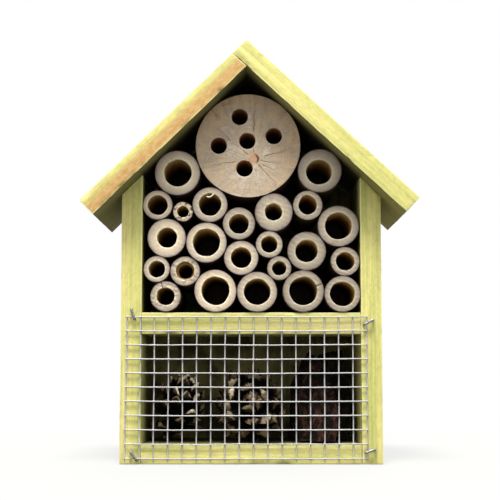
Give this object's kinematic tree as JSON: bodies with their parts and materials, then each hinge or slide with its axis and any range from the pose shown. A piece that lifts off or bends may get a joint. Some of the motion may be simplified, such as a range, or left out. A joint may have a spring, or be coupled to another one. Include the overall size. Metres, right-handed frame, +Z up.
{
  "type": "insect hotel",
  "caption": "Gabled wooden insect hotel with bamboo canes and a drilled log above, and pine cones and bark behind wire mesh below.",
  "frame": {"origin": "middle of the base, where the walls and the floor board stand", "axes": "+Z up, the open front faces -Y, +X to the right seen from the front"},
  "size_m": [0.2371, 0.1047, 0.2979],
  "materials": {
    "stained_wood": "translucent lime green stain on sawn softwood",
    "plywood": "thin green stain on plywood",
    "log_wood": "bare sawn end grain, weathered",
    "bamboo": "bare cut cane",
    "galvanised_wire": "galvanised",
    "staple_steel": "dull zinc",
    "nail_steel": "bright drawn wire",
    "pine_cone": "dry, pale scale tips",
    "bark": "rough",
    "zinc_plate": "zinc plated"
  },
  "bodies": {
    "root": {"back_panel": "plywood", "back_panel_pins": "nail_steel", "bark_chip_1": "bark", "bark_chip_2": "bark", "bark_chip_3": "bark", "bark_chip_4": "bark", "bark_chip_5": "bark", "bark_chip_6": "bark", "cane_01": "bamboo", "cane_02": "bamboo", "cane_03": "bamboo", "cane_04": "bamboo", "cane_05": "bamboo", "cane_06": "bamboo", "cane_07": "bamboo", "cane_08": "bamboo", "cane_09": "bamboo", "cane_10": "bamboo", "cane_11": "bamboo", "cane_12": "bamboo", "cane_13": "bamboo", "cane_14": "bamboo", "cane_15": "bamboo", "cane_16": "bamboo", "cane_17": "bamboo", "cane_18": "bamboo", "cane_19": "bamboo", "cane_20": "bamboo", "cane_21": "bamboo", "cane_22": "bamboo", "cane_23": "bamboo", "drilled_log": "log_wood", "eave_nails": "nail_steel", "floor_board": "stained_wood", "hanger_plate": "zinc_plate", "hanger_screws": "nail_steel", "mesh_level_wires": "galvanised_wire", "mesh_staples": "staple_steel", "mesh_upright_wires": "galvanised_wire", "pine_cone_left": "pine_cone", "pine_cone_middle": "pine_cone", "ridge_nails": "nail_steel", "roof_board_left": "stained_wood", "roof_board_right": "stained_wood", "shelf_board": "stained_wood", "side_wall_left": "stained_wood", "side_wall_right": "stained_wood", "wall_nails": "nail_steel"}
  },
  "joints": []
}
